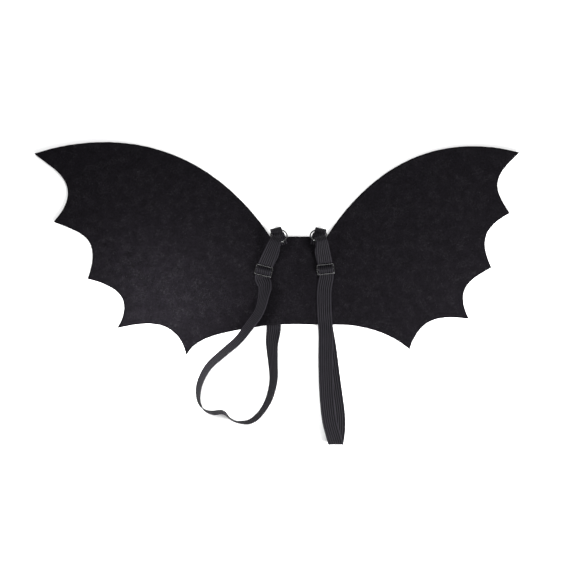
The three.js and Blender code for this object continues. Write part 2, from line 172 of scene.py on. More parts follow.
felt_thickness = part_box("wing_panel")[1].z
felt_dark = (0.0006, 0.0005, 0.0007, 1)
felt_light = (0.0049, 0.0042, 0.0057, 1)
felt_bloom = (0.8, 0.78, 0.86, 1)
lint_grey = (0.026, 0.025, 0.028, 1)

# The outline: its step, and the least turn at which a corner stays a sharp spike
rim_step = 0.0022
spike_turn = math.radians(25)
# The cut edge from the underside to the top: inset, and share of the thickness
rim_profile = [
    (0.0007, 0.0),
    (0.00022, 0.08),
    (0.0, 0.26),
    (0.00006, 0.5),
    (0.0, 0.74),
    (0.00022, 0.92),
    (0.0007, 1.0),
]
rim_waver = 0.00012
deepest_waver = -0.0002

# The points of the two sides, in loose rows
upper_spacing = 0.0028
under_spacing = 0.0042
looseness = 0.22

# The recesses: thickness of their walls, spacing of the points along these, the reach of their
# rows, how near a row comes to the rim, and the strip beside a wall that holds no loose points
recess_wall = 0.0004
recess_spacing = 0.0008
recess_reach = 0.03
recess_rim_gap = 0.0006
clear_outside = 0.002
clear_inside = 0.0015
near_rim = 0.004

# The low waves begin this far from the middle of the straps and are full after the ease
flat_middle = -0.012
flat_half = 0.125
flat_ease = 0.11
wave_height = 0.0022
# Each wave's share of the height, its radians for each metre along X and along Y, and its phase
low_waves = [(0.3, 31, -13, 0.4), (0.2, 17, 38, 2.1)]


def merged_copy(node):
    """A frame node's mesh with its loose triangles joined."""
    solid = bmesh.new()
    solid.from_mesh(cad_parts[node].data)
    bmesh.ops.remove_doubles(solid, verts=solid.verts, dist=1e-6)
    return solid


def walk_round(edges):
    """The vertices of one closed ring of edges, in order."""
    beside = {}
    for edge in edges:
        first, second = edge.verts
        beside.setdefault(first, []).append(second)
        beside.setdefault(second, []).append(first)
    ring = list(edges[0].verts)
    while True:
        ahead = [vert for vert in beside[ring[-1]] if vert is not ring[-2]][0]
        if ahead is ring[0]:
            return np.array([vert.co[:2] for vert in ring])
        ring.append(ahead)


def enclosed_area(ring):
    """The area inside a ring of points, positive where it runs anticlockwise."""
    following = np.roll(ring, -1, axis=0)
    return 0.5 * float(np.sum(ring[:, 0] * following[:, 1] - following[:, 0] * ring[:, 1]))


def smooth_rows(rows, step, place=3):
    """Rows at even steps along the smooth curve through rows, whose first columns are its place."""
    gaps = np.linalg.norm(np.diff(rows[:, :place], axis=0), axis=1)[:, None]
    slopes = np.diff(rows, axis=0) / gaps
    inner = (slopes[:-1] * gaps[1:] + slopes[1:] * gaps[:-1]) / (gaps[:-1] + gaps[1:])
    tangents = np.vstack([slopes[:1], inner, slopes[-1:]])
    fine = []
    for index, gap in enumerate(gaps[:, 0]):
        count = max(1, round(gap / step))
        for share in np.arange(count) / count:
            start_weight = 2 * share**3 - 3 * share**2 + 1
            leave_weight = (share**3 - 2 * share**2 + share) * gap
            arrive_weight = (share**3 - share**2) * gap
            fine.append(
                start_weight * rows[index]
                + (1 - start_weight) * rows[index + 1]
                + leave_weight * tangents[index]
                + arrive_weight * tangents[index + 1]
            )
    fine.append(rows[-1])
    return np.array(fine)


def felt_outline():
    """The panel's outline as a smooth anticlockwise ring of points that keeps its spikes sharp."""
    solid = merged_copy("wing_panel")
    level = felt_thickness - 1e-5
    upper = {face for face in solid.faces if min(vert.co.z for vert in face.verts) > level}
    rim = [edge for edge in solid.edges if sum(face in upper for face in edge.link_faces) == 1]
    ring = walk_round(rim)
    solid.free()
    if enclosed_area(ring) < 0:
        ring = ring[::-1]
    ahead = np.roll(ring, -1, axis=0) - ring
    bearing = np.arctan2(ahead[:, 1], ahead[:, 0])
    turn = (bearing - np.roll(bearing, 1) + math.pi) % (2 * math.pi) - math.pi
    spikes = [int(index) for index in np.nonzero(np.abs(turn) > spike_turn)[0]]
    stretches = []
    for start, end in zip(spikes, spikes[1:] + [spikes[0] + len(ring)]):
        corners = ring[np.arange(start, end + 1) % len(ring)]
        stretches.append(smooth_rows(corners, rim_step, place=2)[:-1])
    return np.vstack(stretches)


def inset_directions(ring):
    """The direction inwards at each point of an anticlockwise ring, longer at a corner."""
    ahead = np.roll(ring, -1, axis=0) - ring
    ahead /= np.linalg.norm(ahead, axis=1)[:, None]
    behind = np.roll(ahead, 1, axis=0)
    inwards = np.stack([-(ahead + behind)[:, 1], (ahead + behind)[:, 0]], axis=1)
    inwards /= np.linalg.norm(inwards, axis=1)[:, None]
    lean = np.abs(np.sum(inwards * np.stack([-ahead[:, 1], ahead[:, 0]], axis=1), axis=1))
    return inwards / np.maximum(lean, 0.5)[:, None]


def inside(ring, points):
    """Which points lie inside the ring."""
    crossings = np.zeros(len(points), int)
    for (x0, y0), (x1, y1) in zip(ring, np.roll(ring, -1, axis=0)):
        if y0 != y1:
            spans = (points[:, 1] >= min(y0, y1)) & (points[:, 1] < max(y0, y1))
            meets = x0 + (points[:, 1] - y0) * (x1 - x0) / (y1 - y0)
            crossings += spans & (points[:, 0] < meets)
    return crossings % 2 == 1


def scattered_inside(ring, spacing, seed):
    """Points in loose rows inside the ring, no nearer to it than half their spacing."""
    low, high = ring.min(axis=0), ring.max(axis=0)
    across = np.arange(low[0], high[0], spacing)
    up = np.arange(low[1], high[1], spacing * math.sqrt(0.75))
    x, y = np.meshgrid(across, up)
    x += spacing / 2 * (np.arange(len(up)) % 2)[:, None]
    points = np.stack([x.ravel(), y.ravel()], axis=1)
    points += np.random.default_rng(seed).uniform(-looseness, looseness, points.shape) * spacing
    points = points[inside(ring, points)]
    rim = KDTree(len(ring))
    for index, point in enumerate(ring):
        rim.insert((*point, 0), index)
    rim.balance()
    return points[[rim.find((*point, 0))[2] > spacing / 2 for point in points]]


def filled(ring, points):
    """Triangles, facing up, that fill the ring through the points, as indices into both in turn."""
    corners = [Vector(point) for point in np.vstack([ring, points])]
    found = geometry.delaunay_2d_cdt(corners, [], [list(range(len(ring)))], 1, 1e-7)
    source = [origin[0] for origin in found[3]]
    faces = []
    for first, second, third in found[2]:
        turning = (found[0][second] - found[0][first]).cross(found[0][third] - found[0][first])
        order = (first, second, third) if turning > 0 else (first, third, second)
        faces.append(tuple(source[index] for index in order))
    return faces


def felt_recesses(ring):
    """Each recess of the underside: middle of its inner end, way out, half width and depth."""
    solid = merged_copy("wing_panel")
    ceiling = [
        face for face in solid.faces
        if face.normal.z < -0.99 and face.calc_center_median().z > felt_thickness / 6
    ]
    groups = []
    for face in ceiling:
        points = {tuple(vert.co) for vert in face.verts}
        joined = [group for group in groups if group & points]
        groups = [group for group in groups if not group & points] + [points.union(*joined)]
    solid.free()
    recesses = []
    for group in groups:
        points = np.array(sorted(group))
        off_rim = np.array([np.min(np.linalg.norm(ring - point[:2], axis=1)) for point in points])
        inner = points[off_rim > near_rim][:, :2]
        outer = points[off_rim <= near_rim][:, :2].mean(axis=0)
        middle = inner.mean(axis=0)
        side = inner[1] - inner[0]
        half = np.linalg.norm(side) / 2
        out = np.array([-side[1], side[0]]) / (2 * half)
        if np.dot(out, outer - middle) < 0:
            out = -out
        recesses.append((middle, out, half, points[0][2]))
    return recesses


def within_recess(points, recess):
    """How far inside the recess's walls each point lies."""
    middle, out, half, _ = recess
    from_middle = points - middle
    along = from_middle @ out
    sideways = np.abs(from_middle @ np.array([-out[1], out[0]]))
    return np.minimum(half - sideways, along)


def underside_height(points, recesses):
    """The underside's height: the table's, or the ceiling of a recess."""
    height = np.zeros(len(points))
    for recess in recesses:
        share = np.clip(1 + within_recess(points, recess) / recess_wall, 0, 1)
        height = np.maximum(height, share * recess[3])
    return height


def recess_points(ring, recesses):
    """Points along both edges of each recess's walls, inside the ring."""
    points = []
    for middle, out, half, _ in recesses:
        side = np.array([-out[1], out[0]])
        for grow in (0.00001, recess_wall):
            for along in np.arange(-grow, recess_reach, recess_spacing):
                points += [middle + out * along + side * reach for reach in (-half - grow, half + grow)]
            for reach in np.arange(-half, half, recess_spacing):
                points.append(middle - out * grow + side * reach)
    points = np.array(points)
    kept = inside(ring, points)
    kept &= np.array([np.min(np.linalg.norm(ring - point, axis=1)) > recess_rim_gap for point in points])
    return points[kept]


def stand_off(points):
    """How far the felt stands off the table: not at all at the straps, in low waves further out."""
    x, y = points[:, 0], points[:, 1]
    share = np.clip((np.abs(x - flat_middle) - flat_half) / flat_ease, 0, 1)
    eased = share * share * (3 - 2 * share)
    waves = 0.5
    for part, along, up, phase in low_waves:
        waves = waves + part * np.sin(along * x + up * y + phase)
    return wave_height * eased * waves


def felt_mesh():
    """The panel as one closed skin: the cut edge, the top and the underside with its recesses."""
    ring = felt_outline()
    inwards = inset_directions(ring)
    recesses = felt_recesses(ring)
    random = np.random.default_rng(11)
    points, rim_rows = [], []
    count = len(ring)
    for inset, share in rim_profile:
        waver = random.normal(0, rim_waver, count)
        waver = (waver + np.roll(waver, 1) + np.roll(waver, -1)) / 2
        at = ring + inwards * (inset + np.maximum(waver, deepest_waver))[:, None]
        under = underside_height(at, recesses)
        height = under + share * (felt_thickness - under) + stand_off(at)
        rim_rows.append(at)
        points += list(np.column_stack([at, height]))
    faces = []
    for row in range(len(rim_profile) - 1):
        for index in range(count):
            beyond = (index + 1) % count
            low, high = row * count, (row + 1) * count
            faces.append((low + index, low + beyond, high + beyond, high + index))
    upper = scattered_inside(rim_rows[-1], upper_spacing, seed=3)
    under = scattered_inside(rim_rows[0], under_spacing, seed=5)
    depth = np.max([within_recess(under, recess) for recess in recesses], axis=0)
    under = under[(depth < -clear_outside) | (depth > clear_inside)]
    under = np.vstack([under, recess_points(rim_rows[0], recesses)])
    upper_start = len(points)
    points += list(np.column_stack([upper, felt_thickness + stand_off(upper)]))
    under_start = len(points)
    points += list(np.column_stack([under, underside_height(under, recesses) + stand_off(under)]))
    top_row = (len(rim_profile) - 1) * count
    for face in filled(rim_rows[-1], upper):
        faces.append([top_row + i if i < count else upper_start + i - count for i in face])
    for face in filled(rim_rows[0], under):
        faces.append([i if i < count else under_start + i - count for i in reversed(face)])
    return mesh_of("felt_panel", points, faces), enclosed_area(ring)


def sums(tree, operation, first, second=0.0, third=0.0):
    """The result of a Math node."""
    return put(tree, "ShaderNodeMath", {0: first, 1: second, 2: third}, operation=operation).outputs[0]


def share_between(tree, value, low, high):
    """How far the value has come from low to high, kept from 0 to 1."""
    return put(tree, "ShaderNodeMapRange", {0: value, 1: low, 2: high}).outputs[0]


def fibre_group():
    """Shared by felt, elastic and thread: fine fibres as a colour share and a height."""
    group = bpy.data.node_groups.new("fine_fibres", "ShaderNodeTree")
    group.interface.new_socket("Vector", in_out="INPUT", socket_type="NodeSocketVector")
    group.interface.new_socket("Coarse Scale", in_out="INPUT", socket_type="NodeSocketFloat")
    group.interface.new_socket("Fine Scale", in_out="INPUT", socket_type="NodeSocketFloat")
    group.interface.new_socket("Share", in_out="OUTPUT", socket_type="NodeSocketFloat")
    group.interface.new_socket("Height", in_out="OUTPUT", socket_type="NodeSocketFloat")
    given = put(group, "NodeGroupInput").outputs
    coarse = noise(group, given["Vector"], given["Coarse Scale"], 5.0, Roughness=0.62, Distortion=0.6)
    fine = noise(group, given["Vector"], given["Fine Scale"], 3.0, Roughness=0.7, Distortion=1.2)
    share = sums(group, "MULTIPLY_ADD", coarse, 0.6, sums(group, "MULTIPLY", fine, 0.4))
    height = sums(group, "MULTIPLY_ADD", fine, 0.55, sums(group, "MULTIPLY", coarse, 0.45))
    put(group, "NodeGroupOutput", {"Share": share, "Height": height})
    return group


fine_fibres = fibre_group()


def fibres_at(tree, place, coarse_scale, fine_scale):
    """The shared fibres in a material, at its own scales."""
    scales = {"Vector": place, "Coarse Scale": coarse_scale, "Fine Scale": fine_scale}
    return put(tree, "ShaderNodeGroup", scales, node_tree=fine_fibres).outputs


def add_bump(tree, shader, height, strength, distance):
    """Shades the surface as if it rose and sank by the height."""
    bump = put(tree, "ShaderNodeBump", {"Strength": strength, "Distance": distance, "Height": height})
    tree.links.new(bump.outputs[0], shader.inputs["Normal"])


def add_sheen(shader, weight, roughness, tint):
    """The faint bloom of fibre ends."""
    shader.inputs["Sheen Weight"].default_value = weight
    shader.inputs["Sheen Roughness"].default_value = roughness
    shader.inputs["Sheen Tint"].default_value = tint


def felt_finish():
    """Black felt: mottled matted fibres with a faint bloom, a few curled hairs and specks of lint."""
    finish, tree, shader = new_finish("black_felt", 0.93, 0.03)
    add_sheen(shader, 0.015, 0.6, felt_bloom)
    place = object_place(tree)
    fibres = fibres_at(tree, place, 420.0, 1500.0)
    patches = noise(tree, place, 75.0, 3.0)
    share = sums(tree, "MULTIPLY_ADD", fibres["Share"], 0.9, sums(tree, "MULTIPLY", patches, 0.1))
    felt = blend(tree, share_between(tree, share, 0.37, 0.63), felt_dark, felt_light)
    bends = noise(tree, place, 190.0, 1.0, Distortion=1.8)
    off_line = sums(tree, "ABSOLUTE", sums(tree, "SUBTRACT", bends, 0.5))
    spots = share_between(tree, noise(tree, place, 95.0, 0.0), 0.42, 0.62)
    hairs = sums(tree, "MULTIPLY", share_between(tree, off_line, 0.03, 0.012), spots)
    cells = put(tree, "ShaderNodeTexVoronoi", {"Vector": place, "Scale": 95.0})
    speck = share_between(tree, cells.outputs["Distance"], 0.075, 0.03)
    chosen = put(tree, "ShaderNodeSeparateColor", {0: cells.outputs["Color"]}).outputs[0]
    specks = sums(tree, "MULTIPLY", speck, sums(tree, "GREATER_THAN", chosen, 0.55))
    lint = sums(tree, "MAXIMUM", specks, sums(tree, "MULTIPLY", hairs, 0.45))
    colour = blend(tree, sums(tree, "MULTIPLY", lint, 0.55), felt, lint_grey)
    tree.links.new(colour, shader.inputs["Base Color"])
    height = sums(tree, "MULTIPLY_ADD", patches, 0.8, fibres["Height"])
    height = sums(tree, "MULTIPLY_ADD", lint, 0.25, height)
    add_bump(tree, shader, height, 0.55, 0.0007)
    return finish


panel_mesh, panel_area = felt_mesh()
felt_panel = new_object("felt_panel", panel_mesh)
felt_panel.data.materials.append(felt_finish())
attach(felt_panel, "root")
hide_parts("wing_panel")


# The felt's loose hairs: fine curled polyester fibres that stand out of its upper side and edge.
# Each is a thin bent stem, slimmer at its tip, and none reaches lower than the table.

hair_density = 42000.0
hair_length = 0.0034
hair_radius_share = 0.011
hair_dark = (0.003, 0.0028, 0.0033, 1)
hair_light = (0.024, 0.0225, 0.026, 1)
# The bends of the two kinds of hair, ahead and sideways, as shares of their length
hair_bends = ((0.62, 0.7), (0.5, -0.3))
table_height = 0.0


def new_tree(name, inputs):
    """A Geometry Nodes tree with these named inputs, and its input node's outputs."""
    tree = bpy.data.node_groups.new(name, "GeometryNodeTree")
    tree.interface.new_socket("Geometry", in_out="INPUT", socket_type="NodeSocketGeometry")
    tree.interface.new_socket("Geometry", in_out="OUTPUT", socket_type="NodeSocketGeometry")
    for label, kind in inputs.items():
        tree.interface.new_socket(label, in_out="INPUT", socket_type=f"NodeSocket{kind}")
    return tree, put(tree, "NodeGroupInput").outputs


def finish_tree(tree, shape, material):
    """Ends a tree: smooth faces, realized instances and the material."""
    smooth = put(tree, "GeometryNodeSetShadeSmooth", {"Geometry": shape})
    realized = put(tree, "GeometryNodeRealizeInstances", {"Geometry": smooth.outputs[0]})
    painted = put(tree, "GeometryNodeSetMaterial", {"Geometry": realized.outputs[0], "Material": material})
    put(tree, "NodeGroupOutput", {"Geometry": painted.outputs[0]})


def grown(source, name, tree, values):
    """The plain object that the tree makes of the source with these named inputs."""
    modifier = source.modifiers.new(tree.name, "NODES")
    modifier.node_group = tree
    sockets = [item for item in tree.interface.items_tree if item.in_out == "INPUT"]
    identifiers = {item.name: item.identifier for item in sockets}
    for label, value in values.items():
        modifier[identifiers[label]] = value
    bpy.context.view_layer.update()
    evaluated = source.evaluated_get(bpy.context.evaluated_depsgraph_get())
    piece = new_object(name, bpy.data.meshes.new_from_object(evaluated))
    bpy.data.objects.remove(source)
    return piece


def random_value(tree, low, high, seed):
    """A random number for each point, from low to high."""
    limits = {2: low, 3: high, 8: seed}
    return put(tree, "FunctionNodeRandomValue", limits, data_type="FLOAT").outputs[1]


def parts_of(tree, vector):
    """The three numbers of a vector."""
    return put(tree, "ShaderNodeSeparateXYZ", {0: vector}).outputs


def loose_hair_tree():
    """Scatters short curled hairs over the upper side of a felt skin, none lower than the table."""
    tree, given = new_tree("loose_hairs", {
        "Density": "Float", "Hair Length": "Float", "Radius Share": "Float", "Seed": "Int",
        "Table Height": "Float", "Material": "Material",
    })
    upwards = parts_of(tree, put(tree, "GeometryNodeInputNormal").outputs[0])[2]
    scattered = put(tree, "GeometryNodeDistributePointsOnFaces", {
        "Mesh": given["Geometry"], "Selection": sums(tree, "GREATER_THAN", upwards, 0.2),
        "Density": given["Density"], "Seed": given["Seed"],
    }).outputs
    along = put(tree, "GeometryNodeSplineParameter").outputs[0]
    slimmer = sums(tree, "MULTIPLY_ADD", along, -0.6, 1.0)
    section = put(tree, "GeometryNodeCurvePrimitiveCircle", {
        "Resolution": 3, "Radius": given["Radius Share"],
    }).outputs[0]
    kinds = put(tree, "GeometryNodeJoinGeometry")
    for ahead, sideways in hair_bends:
        curl = put(tree, "GeometryNodeCurveQuadraticBezier", {
            "Resolution": 4, "Start": (0, 0, -0.02), "Middle": (ahead, sideways, 0.16), "End": (0.85, 0, 0.1),
        }).outputs[0]
        hair = put(tree, "GeometryNodeCurveToMesh", {
            "Curve": curl, "Profile Curve": section, "Scale": slimmer,
        }).outputs[0]
        kind = put(tree, "GeometryNodeGeometryToInstance", {0: hair}).outputs[0]
        tree.links.new(kind, kinds.inputs[0])
    heading = put(tree, "ShaderNodeCombineXYZ", {2: random_value(tree, 0.0, 2 * math.pi, 1)}).outputs[0]
    turn = put(tree, "FunctionNodeEulerToRotation", {0: heading}).outputs[0]
    turned = put(tree, "FunctionNodeRotateRotation", {
        "Rotation": scattered["Rotation"], "Rotate By": turn,
    }, rotation_space="LOCAL").outputs[0]
    size = sums(tree, "MULTIPLY", given["Hair Length"], random_value(tree, 0.45, 1.25, 2))
    hairs = put(tree, "GeometryNodeInstanceOnPoints", {
        "Points": scattered["Points"], "Instance": kinds.outputs[0], "Pick Instance": True,
        "Rotation": turned, "Scale": size,
    }).outputs[0]
    joined = put(tree, "GeometryNodeRealizeInstances", {"Geometry": hairs}).outputs[0]
    place = parts_of(tree, put(tree, "GeometryNodeInputPosition").outputs[0])
    above = sums(tree, "MAXIMUM", place[2], given["Table Height"])
    kept = put(tree, "ShaderNodeCombineXYZ", {0: place[0], 1: place[1], 2: above}).outputs[0]
    lying = put(tree, "GeometryNodeSetPosition", {"Geometry": joined, "Position": kept}).outputs[0]
    finish_tree(tree, lying, given["Material"])
    return tree


def hair_finish():
    """Loose polyester hairs: a greyer black than the felt, each a little different."""
    finish, tree, shader = new_finish("felt_hair", 0.7, 0.2)
    varied = share_between(tree, noise(tree, object_place(tree), 240.0, 1.0), 0.35, 0.7)
    tree.links.new(blend(tree, varied, hair_dark, hair_light), shader.inputs["Base Color"])
    return finish


felt_skin = new_object("felt_skin", panel_mesh.copy())
felt_skin.data.materials.clear()
felt_hairs = grown(felt_skin, "felt_hairs", loose_hair_tree(), {
    "Density": hair_density, "Hair Length": hair_length, "Radius Share": hair_radius_share, "Seed": 7,
    "Table Height": table_height, "Material": hair_finish(),
})
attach(felt_hairs, "root")


# The elastic bands: two arm straps and two short tabs of 20 mm black knitted elastic, 1.1 mm thick.
# Each has seven ribs along it, a plain rounded edge, and rows of small knitted stitches on each rib.
# A band follows the sections of its solid in the frame, from its upper end to its lower end.

elastic_width = 0.02
elastic_thickness = 0.0011
# The dark colour is painted shade in the lines between the ribs; the light one is painted light on the crests
# and a painted highlight along the edges.
elastic_dark = (0.0004, 0.0004, 0.0005, 1)
elastic_light = (0.0184, 0.0169, 0.0211, 1)
elastic_bloom = (0.85, 0.83, 0.9, 1)
band_step = 0.0012

# The ribs: their number, the share of the thickness that a valley takes and how narrow it is, and
# the share of half the width past which there is none
elastic_ribs = 7
rib_depth = 0.5
valley_power = 1.6
plain_edge = 0.93
# The rounded edges as a share of half the width, and the columns of the mesh
edge_round = 0.055
columns_per_rib = 6
edge_columns = 6

# Between its adjuster and its sewn end a strap is slightly cupped, by a height that varies along it
adjuster_length = 0.14
sewn_length = 0.03
cup_height = 0.0007
cup_ease = 0.04
cup_wave = 23
cup_phase = 1.0
stitches_per_width = 20.0


def band_sections(node):
    """Middle, direction across and width of the band's sections, in order from its upper end."""
    solid = merged_copy(node)
    ends = [vert for vert in solid.verts if len(vert.link_edges) > 8]
    start = max(ends, key=lambda vert: vert.co.z)
    fans = [
        [other for other in start.link_faces if other.normal.dot(face.normal) > 0.9999]
        for face in start.link_faces
    ]
    ring = {vert for face in max(fans, key=len) for vert in face.verts}
    seen, rows, across = set(ring), [], np.array([1.0, 0.0, 0.0])
    while ring:
        points = np.array([vert.co for vert in ring])
        middle = points.mean(axis=0)
        widest = np.linalg.svd(points - middle)[2][0]
        across = widest if np.dot(widest, across) > 0 else -widest
        rows.append([*middle, *across, np.ptp(points @ across)])
        ring = {edge.other_vert(vert) for vert in ring for edge in vert.link_edges} - seen
        seen |= ring
    solid.free()
    return np.array(rows)


def unit(vectors):
    """The vectors at length one."""
    return vectors / np.linalg.norm(vectors, axis=1)[:, None]


def distances(rows):
    """How far along its run each row lies."""
    return np.concatenate([[0], np.cumsum(np.linalg.norm(np.diff(rows[:, :3], axis=0), axis=1))])


def band_columns():
    """Places across a band from -1 to 1, evenly over its ribs and closer together round its edges."""
    flat = 1 - edge_round
    over_ribs = np.linspace(-flat, flat, elastic_ribs * columns_per_rib + 1)
    over_edge = flat + edge_round * np.sin(np.linspace(0, math.pi / 2, edge_columns + 1)[1:])
    return np.concatenate([-over_edge[::-1], over_ribs, over_edge])


def store(mesh, name, values):
    """Gives each point of the mesh a number or a vector."""
    values = np.array(values)
    kind, field = ("FLOAT", "value") if values.ndim == 1 else ("FLOAT_VECTOR", "vector")
    mesh.attributes.new(name, kind, "POINT").data.foreach_set(field, values.ravel())


def band_ribbon(name, rows, cupped):
    """The band's middle surface as a grid with its fullness and facing, and the band's length."""
    middle, width = rows[:, :3], rows[:, 6:7]
    along = unit(np.gradient(middle, axis=0))
    across = unit(rows[:, 3:6] - along * np.sum(rows[:, 3:6] * along, axis=1)[:, None])
    facing = unit(np.cross(across, along))
    run = distances(rows)
    length = run[-1]
    free = np.clip(np.minimum(run - adjuster_length, length - sewn_length - run) / cup_ease, 0, 1)
    free = free * free * (3 - 2 * free)
    cup = cup_height * free * (0.7 + 0.3 * np.sin(run * cup_wave + cup_phase)) * cupped
    columns = band_columns()
    to_edge = np.clip((np.abs(columns) - (1 - edge_round)) / edge_round, 0, 1)
    edge_fullness = np.sqrt(np.clip(1 - to_edge**2, 0, 1))
    to_end = np.clip(np.minimum(run, length - run) / (elastic_thickness / 2), 0, 1)
    end_fullness = np.sqrt(np.clip(1 - (1 - to_end) ** 2, 0, 1))
    points, fullness, facings, texture = [], [], [], []
    for row in range(len(rows)):
        lift = facing[row] * facing[row][2] * cup[row]
        for column, place in enumerate(columns):
            points.append(middle[row] + across[row] * place * width[row] / 2 + lift * place**2)
            fullness.append(edge_fullness[column] * end_fullness[row])
            facings.append(facing[row])
            texture.append((run[row] / elastic_width, (place + 1) / 2))
    count = len(columns)
    faces = []
    for row in range(len(rows) - 1):
        for column in range(count - 1):
            corner = row * count + column
            faces.append((corner, corner + 1, corner + count + 1, corner + count))
    mesh = mesh_of(name, points, faces)
    store(mesh, "fullness", fullness)
    store(mesh, "across", np.tile(columns, len(rows)))
    store(mesh, "facing", facings)
    unwrapped = mesh.uv_layers.new(name="band")
    corners = np.array([loop.vertex_index for loop in mesh.loops])
    unwrapped.data.foreach_set("uv", np.array(texture)[corners].ravel())
    return new_object(name, mesh), length


def stored(tree, name, data_type="FLOAT"):
    """The number or vector that each point was given."""
    return put(tree, "GeometryNodeInputNamedAttribute", {"Name": name}, data_type=data_type).outputs[0]


def wave_between(tree, turns, kind, swing):
    """A wave from 0 to 1 over the turns. A swing of 0.5 starts a cosine at 1, and -0.5 at 0."""
    wave = sums(tree, kind, sums(tree, "MULTIPLY", turns, 2 * math.pi))
    return sums(tree, "MULTIPLY_ADD", wave, swing, 0.5)


def ribbed_band_tree():
    """Thickens a band's middle surface on both sides, with ribs along it and round edges."""
    tree, given = new_tree("ribbed_band", {
        "Thickness": "Float", "Ribs": "Float", "Rib Depth": "Float", "Material": "Material",
    })
    across = stored(tree, "across")
    facing = stored(tree, "facing", "FLOAT_VECTOR")
    turns = sums(tree, "MULTIPLY", sums(tree, "MULTIPLY_ADD", across, 0.5, 0.5), given["Ribs"])
    valley = sums(tree, "POWER", wave_between(tree, turns, "COSINE", 0.5), valley_power)
    ribbed = sums(tree, "LESS_THAN", sums(tree, "ABSOLUTE", across), plain_edge)
    cut = sums(tree, "MULTIPLY", sums(tree, "MULTIPLY", valley, ribbed), given["Rib Depth"])
    rise = sums(tree, "MULTIPLY", sums(tree, "SUBTRACT", 1.0, cut), stored(tree, "fullness"))
    rise = sums(tree, "MULTIPLY", rise, sums(tree, "MULTIPLY", given["Thickness"], 0.5))
    sides = []
    for turned in (1.0, -1.0):
        scale = sums(tree, "MULTIPLY", rise, turned)
        offset = put(tree, "ShaderNodeVectorMath", {0: facing, "Scale": scale}, operation="SCALE").outputs[0]
        moved = put(tree, "GeometryNodeSetPosition", {"Geometry": given["Geometry"], "Offset": offset})
        sides.append(moved.outputs[0])
    back = put(tree, "GeometryNodeFlipFaces", {"Mesh": sides[1]}).outputs[0]
    both = put(tree, "GeometryNodeJoinGeometry")
    tree.links.new(back, both.inputs[0])
    tree.links.new(sides[0], both.inputs[0])
    closed = put(tree, "GeometryNodeMergeByDistance", {"Geometry": both.outputs[0], "Distance": 2e-6})
    finish_tree(tree, closed.outputs[0], given["Material"])
    return tree


def elastic_finish():
    """Black knitted elastic: crests painted lighter with painted shade in the lines between the ribs, a
    painted highlight along both edges, and stitches on each rib.
    """
    finish, tree, shader = new_finish("black_elastic", 0.6, 0.04)
    add_sheen(shader, 0.01, 0.5, elastic_bloom)
    unwrapped = parts_of(tree, put(tree, "ShaderNodeUVMap", uv_map="band").outputs[0])
    ribs = sums(tree, "MULTIPLY", unwrapped[1], float(elastic_ribs))
    crest = wave_between(tree, ribs, "COSINE", -0.5)
    from_crest = sums(tree, "ABSOLUTE", sums(tree, "SUBTRACT", sums(tree, "FRACT", ribs), 0.5))
    rows = sums(tree, "MULTIPLY", unwrapped[0], stitches_per_width)
    slanted = sums(tree, "MULTIPLY_ADD", from_crest, 1.1, rows)
    knit = sums(tree, "MULTIPLY", wave_between(tree, slanted, "SINE", 0.5), crest)
    drawn_out = sums(tree, "MULTIPLY", unwrapped[0], 0.12)
    stretched = put(tree, "ShaderNodeCombineXYZ", {0: drawn_out, 1: unwrapped[1]}).outputs[0]
    yarn = fibres_at(tree, stretched, 16.0, 70.0)
    # The crests are painted lighter and the lines between them darker: painted shade between the ribs.
    share = sums(tree, "MULTIPLY_ADD", crest, 0.62, sums(tree, "MULTIPLY", knit, 0.2))
    share = sums(tree, "MULTIPLY_ADD", sums(tree, "SUBTRACT", yarn["Share"], 0.5), 0.7, share)
    # A painted highlight along both edges of the band.
    off_middle = sums(tree, "ABSOLUTE", sums(tree, "SUBTRACT", unwrapped[1], 0.5))
    edge = share_between(tree, off_middle, 0.455, 0.49)
    share = sums(tree, "MAXIMUM", share, sums(tree, "MULTIPLY", edge, 0.8))
    tree.links.new(blend(tree, share, elastic_dark, elastic_light), shader.inputs["Base Color"])
    height = sums(tree, "MULTIPLY_ADD", knit, 0.6, sums(tree, "MULTIPLY", crest, 0.4))
    height = sums(tree, "MULTIPLY_ADD", yarn["Height"], 0.5, height)
    add_bump(tree, shader, height, 0.6, 0.00025)
    return finish


black_elastic = elastic_finish()
ribbed_band = ribbed_band_tree()


def add_band(name, node, cupped):
    """A finished band that stands for its node, and the sections along which it runs."""
    sections = smooth_rows(band_sections(node), band_step)
    ribbon, length = band_ribbon(name + "_middle", sections, cupped)
    band = grown(ribbon, name, ribbed_band, {
        "Thickness": elastic_thickness, "Ribs": elastic_ribs, "Rib Depth": rib_depth,
        "Material": black_elastic,
    })
    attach(band, "root")
    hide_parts(node)
    return sections


band_runs = {
    "strap_left": add_band("elastic_strap_left", "strap_left", cupped=True),
    "strap_right": add_band("elastic_strap_right", "strap_right", cupped=True),
    "tab_left": add_band("elastic_tab_left", "tab_left", cupped=False),
    "tab_right": add_band("elastic_tab_right", "tab_right", cupped=False),
}


# The seams: black polyester thread. Two rows across each tab hold it to the neck edge, and a
# box of stitches through the hem holds the lower end of each strap, with its thread on both sides.

thread_radius = 0.00016
thread_dark = (0.001, 0.001, 0.0012, 1)
thread_light = (0.005, 0.0046, 0.0055, 1)
stitch_pitch = 0.0026
stitch_share = 0.84
# A stitch's ends sink in and its middle stands up, in radii of the thread
stitch_sunk = -1.4
stitch_arch = 2.2
# The seams: how far they stay from a band's edges, and their distances from the band's end
seam_inset = 0.0022
tab_seams = (0.0035, 0.0105)
box_seams = (0.0035, 0.0165)


